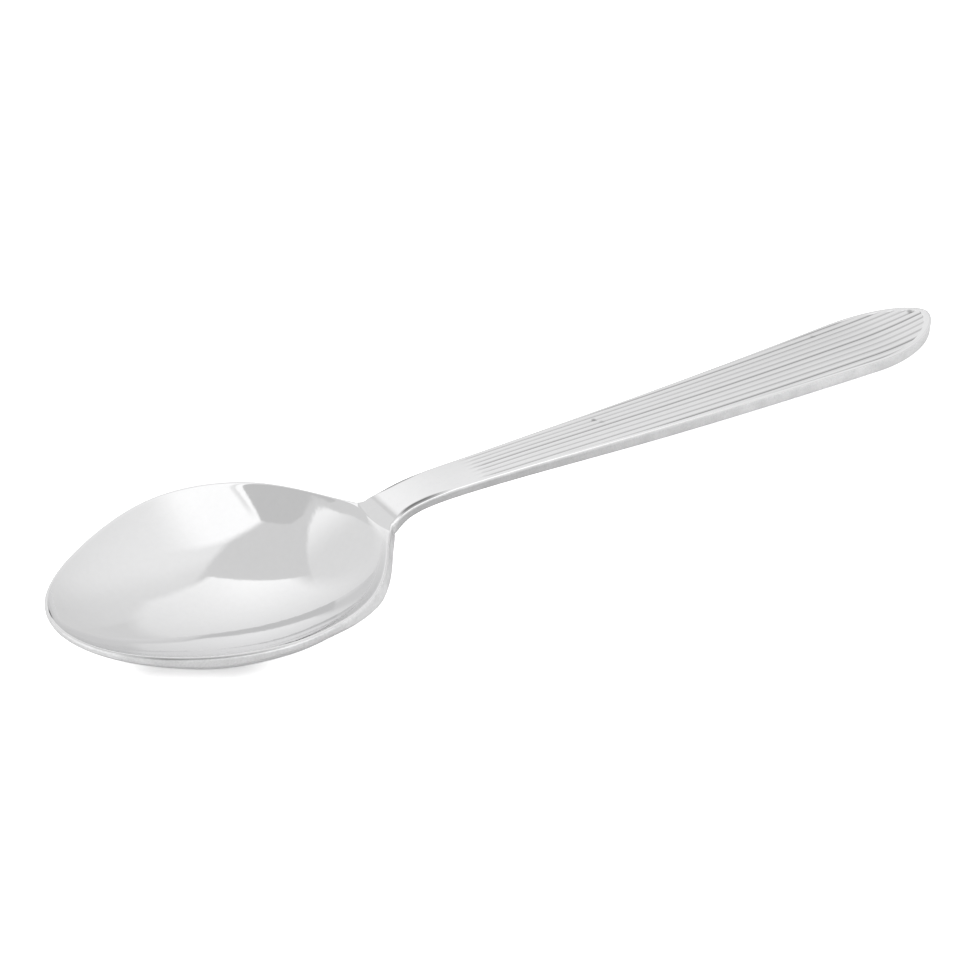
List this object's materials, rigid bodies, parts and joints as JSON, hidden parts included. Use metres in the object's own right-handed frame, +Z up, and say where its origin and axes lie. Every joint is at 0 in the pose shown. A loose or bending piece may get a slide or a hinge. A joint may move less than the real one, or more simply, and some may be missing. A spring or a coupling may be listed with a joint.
{
  "type": "serving spoon",
  "caption": "Polished steel serving spoon with an egg-shaped dished bowl, a slim bevelled neck and a handle that widens to a rounded point, with fanned flutes along its top.",
  "frame": {"origin": "on the table under the middle of the spoon's box", "axes": "+X along the spoon from the tip of the bowl to the tip of the handle, +Z up out of the hollow, -Y the long edge that faces the camera in the picture"},
  "size_m": [0.21, 0.0514, 0.0158],
  "materials": {
    "polished_steel": "mirror-polished stainless steel on the bowl, the neck and the top of the handle",
    "ground_steel": "satin-ground stainless steel along the edges"
  },
  "bodies": {
    "root": {"bowl": "polished_steel", "neck": "polished_steel", "handle": "polished_steel"}
  },
  "joints": []
}
